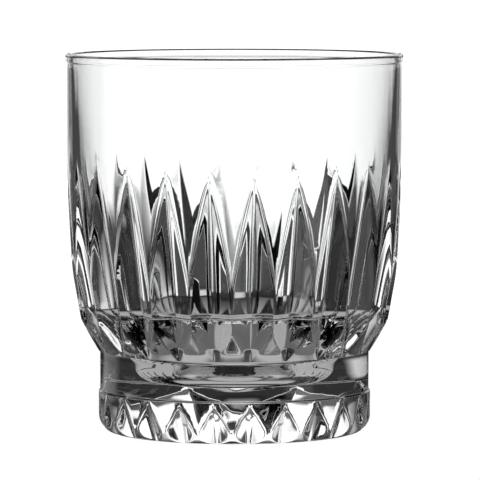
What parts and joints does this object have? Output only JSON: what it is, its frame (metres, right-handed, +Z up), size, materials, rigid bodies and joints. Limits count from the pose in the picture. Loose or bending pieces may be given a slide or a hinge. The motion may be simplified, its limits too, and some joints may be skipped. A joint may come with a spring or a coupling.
{
  "type": "whiskey tumbler",
  "caption": "Short pressed-glass tumbler with tall V-cut facets round the bowl, a plain neck and a notched foot, open at the top.",
  "frame": {"origin": "on the axis, in the plane that the foot stands on", "axes": "+Z up along the glass's axis, towards the rim; a cut's spine lies on +X and on -Y"},
  "size_m": [0.092, 0.092, 0.103],
  "materials": {
    "clear_glass": "clear pressed glass, fire-polished, glossy"
  },
  "bodies": {
    "root": {"tumbler_glass": "clear_glass"}
  },
  "joints": []
}
